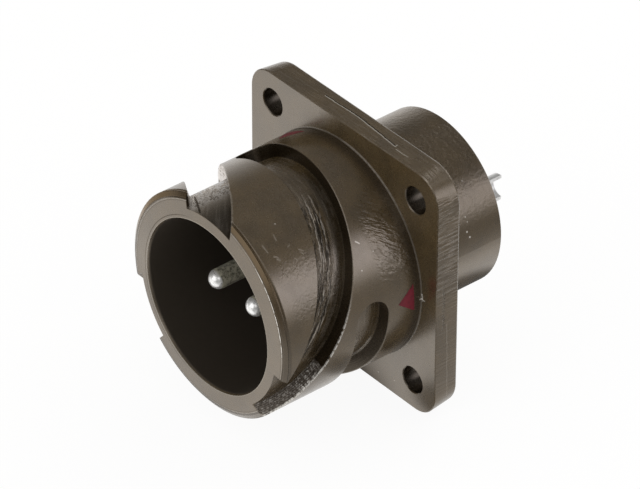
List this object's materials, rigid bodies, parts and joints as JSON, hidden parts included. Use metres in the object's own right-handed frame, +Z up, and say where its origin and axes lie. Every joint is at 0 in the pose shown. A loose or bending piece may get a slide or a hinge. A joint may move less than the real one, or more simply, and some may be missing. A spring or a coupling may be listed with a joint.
{
  "type": "bayonet circular connector receptacle",
  "caption": "Square-flanged panel receptacle with helical bayonet grooves on its nose, round-nosed contact pins in the socket and solder cups at the rear.",
  "frame": {"origin": "centre of the flange's rear, mounting face, on the connector's axis", "axes": "+Y along the axis out of the rear barrel, so the mating nose points towards -Y; +Z up and +X to the right seen from the front, with the flange's edges along X and Z"},
  "size_m": [0.0322, 0.0401, 0.0322],
  "materials": {
    "shell_finish": "olive drab plating, semi-gloss",
    "insert_rubber": "matt moulded",
    "contact_plating": "silver plated",
    "washer_finish": "olive drab plating",
    "spring_steel": "bright steel"
  },
  "bodies": {
    "root": {"shell": "shell_finish", "insert": "insert_rubber", "contact_left": "contact_plating", "contact_right": "contact_plating", "retaining_washer": "washer_finish", "retaining_ring": "spring_steel"}
  },
  "joints": []
}
